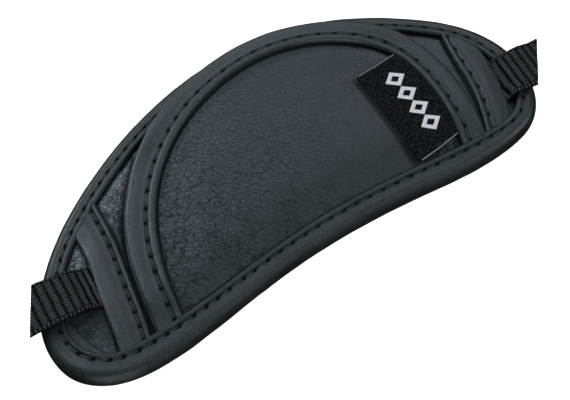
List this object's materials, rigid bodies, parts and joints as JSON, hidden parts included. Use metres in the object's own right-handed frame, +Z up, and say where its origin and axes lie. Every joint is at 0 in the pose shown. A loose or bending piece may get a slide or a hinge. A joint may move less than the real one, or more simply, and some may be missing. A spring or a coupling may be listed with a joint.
{
  "type": "camera wrist strap",
  "caption": "Padded camera hand strap: crescent leather pad with stitched rolled edges, an arched padded panel with a woven label, and a short nylon webbing out of each end.",
  "frame": {"origin": "middle of the pad's length and width, webbings left out, on the plane that the pad rests on", "axes": "+X along the pad towards the right webbing, +Y from the long near edge towards the arch, +Z up out of the pad's front"},
  "size_m": [0.1736, 0.073, 0.0101],
  "materials": {
    "backing": "soft brushed fabric over foam",
    "grained_leather": "finely grained, lightly creased",
    "smooth_leather": "smooth, semi-matt",
    "woven_label": "fine weave",
    "nylon_webbing": "ribbed weave"
  },
  "bodies": {
    "root": {"back_pad": "backing", "front_leather": "grained_leather", "edge_binding": "smooth_leather", "half_moon_panel": "grained_leather", "arch_binding": "smooth_leather", "left_end_band": "smooth_leather", "right_end_band": "smooth_leather", "corner_patch": "smooth_leather", "label": "woven_label", "left_webbing": "nylon_webbing", "right_webbing": "nylon_webbing"}
  },
  "joints": []
}
